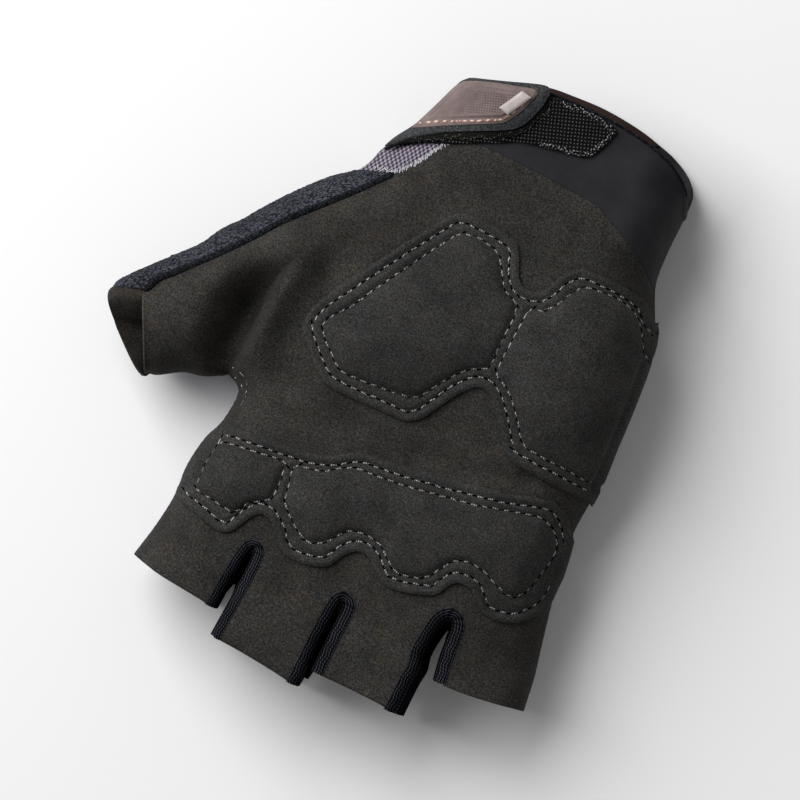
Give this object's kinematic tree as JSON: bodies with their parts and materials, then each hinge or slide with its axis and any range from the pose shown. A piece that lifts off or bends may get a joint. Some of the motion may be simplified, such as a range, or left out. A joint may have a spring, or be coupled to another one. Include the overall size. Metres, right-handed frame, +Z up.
{
  "type": "fingerless cycling glove, right hand",
  "caption": "Fingerless padded glove for the right hand, lying palm up: suede palm, stitched heel and knuckle pads, terry thumb, mesh back, wrist cuff with closure tab.",
  "frame": {"origin": "middle of the mitt's box, on the surface that its back lies on", "axes": "+Y from the fingers to the wrist, +Z up out of the palm, -X to the thumb"},
  "size_m": [0.1354, 0.1566, 0.0413],
  "materials": {
    "suede": "fine mottled synthetic suede, dark brown grey",
    "mesh_cloth": "knitted mesh, lavender grey",
    "terry": "looped terry, dark blue grey",
    "cuff_cloth": "smooth stretch cloth with a fine diagonal rib, bluish black",
    "rib_binding": "ribbed elastic binding, navy black",
    "pad_suede": "fine brushed suede, grey brown",
    "loop_tape": "woven loop tape, black",
    "tab_felt": "brushed felt, dark grey",
    "badge_rubber": "moulded soft plastic with a fine grid, taupe mauve",
    "tile_plastic": "smooth, light warm grey"
  },
  "bodies": {
    "root": {"palm_panel": "suede", "back_panel": "mesh_cloth", "thumb_wipe": "terry", "cuff": "cuff_cloth", "fourchette_index_middle": "rib_binding", "fourchette_middle_ring": "rib_binding", "fourchette_ring_little": "rib_binding", "heel_overlay": "pad_suede", "knuckle_overlay": "pad_suede", "loop_tape": "loop_tape", "closure_tab": "tab_felt", "closure_badge": "badge_rubber", "badge_tile": "tile_plastic"}
  },
  "joints": []
}
